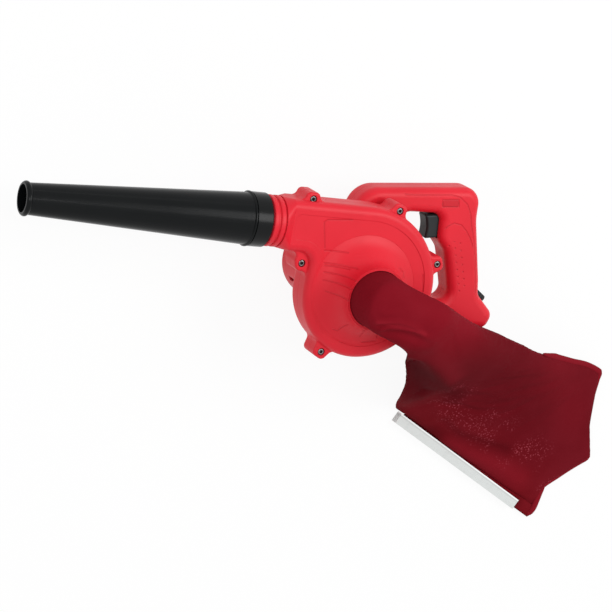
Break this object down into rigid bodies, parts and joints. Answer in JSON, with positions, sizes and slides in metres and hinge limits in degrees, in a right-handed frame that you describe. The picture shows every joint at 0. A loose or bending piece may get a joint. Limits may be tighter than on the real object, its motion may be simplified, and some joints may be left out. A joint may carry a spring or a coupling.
{
  "type": "car dryer blower",
  "caption": "Hand-held electric blower with scroll fan housing, D-handle with trigger, long tapered nozzle and a cloth dust bag closed by a slide-on rail.",
  "frame": {"origin": "the fan axis at the flat end of the motor, on the floor that the tool stands on", "axes": "+Z along the fan axis from the motor end to the intake port, -X along the nozzle towards its mouth, +Y towards the top of the handle"},
  "size_m": [0.7448, 0.381, 0.1979],
  "materials": {
    "red_shell": "smooth satin red",
    "nozzle_black": "fine satin black",
    "collar_black": "glossy black",
    "trigger_grey": "satin dark grey",
    "black_moulding": "plain black",
    "steel": "bright steel",
    "dark_screws": "blackened steel",
    "laminations": "stacked sheet steel",
    "copper": "enamelled copper",
    "brass_parts": "plain brass",
    "carbon": "pressed carbon",
    "dark_rubber": "dull black rubber",
    "wheel_grey": "grey moulding",
    "capacitor_blue": "dipped blue",
    "bag_cloth": "burgundy coated cloth",
    "rail_white": "white extrusion"
  },
  "bodies": {
    "housing": {"fan_cover": "red_shell", "intake_port": "red_shell", "fan_housing": "red_shell", "cover_screws": "dark_screws", "motor_housing": "red_shell", "motor_end_cap": "red_shell", "end_cap_screws": "dark_screws", "motor_flange": "black_moulding", "handle_shell_near": "red_shell", "handle_shell_far": "red_shell", "handle_screws": "dark_screws", "field_core": "laminations", "field_coils": "copper", "front_bearing": "steel", "rear_bearing": "steel", "rear_bearing_boot": "dark_rubber", "brush_holders": "brass_parts", "carbon_brushes": "carbon", "brush_springs": "steel", "switch_body": "black_moulding", "suppressor_capacitor": "capacitor_blue", "cord_gland": "dark_rubber", "cord_clamp": "black_moulding", "clamp_screws": "steel"},
    "rotor": {"motor_shaft": "steel", "armature_core": "laminations", "armature_windings": "copper", "commutator": "copper", "cooling_fan": "black_moulding", "impeller": "wheel_grey", "impeller_washers": "steel", "impeller_nut": "steel"},
    "trigger": {"trigger": "trigger_grey"},
    "lock_button": {"lock_button": "trigger_grey"},
    "collar": {"nozzle_collar": "collar_black"},
    "nozzle": {"nozzle": "nozzle_black"},
    "bag": {"bag_pipe": "black_moulding", "dust_bag": "bag_cloth", "bag_cuff": "bag_cloth"},
    "rail": {"closure_rail": "rail_white"}
  },
  "joints": [
    {"name": "rotor_spin", "type": "hinge", "parent": "housing", "child": "rotor", "pos_m": [0, 0, 0.06], "axis": [0, 0, 1], "continuous": true},
    {"name": "trigger_squeeze", "type": "slide", "parent": "housing", "child": "trigger", "axis": [0.9903, 0.1392, 0], "range_m": [0, 0.006], "stiffness_N_per_m": 800, "springref_m": -0.002},
    {"name": "lock_push", "type": "slide", "parent": "housing", "child": "lock_button", "axis": [0, 0, 1], "range_m": [0, 0.003], "stiffness_N_per_m": 600, "springref_m": -0.001},
    {"name": "collar_twist", "type": "hinge", "parent": "housing", "child": "collar", "pos_m": [-0.1255, 0.05652, 0.102], "axis": [-1, 0, 0], "range_deg": [0, 30]},
    {"name": "nozzle_pull", "type": "slide", "parent": "collar", "child": "nozzle", "axis": [-1, 0, 0], "range_m": [0, 0.03]},
    {"name": "bag_pull", "type": "slide", "parent": "housing", "child": "bag", "axis": [0, 0, 1], "range_m": [0, 0.05]},
    {"name": "rail_slide", "type": "slide", "parent": "bag", "child": "rail", "axis": [-0.8729, 0.4879, 0], "range_m": [0, 0.2]}
  ]
}
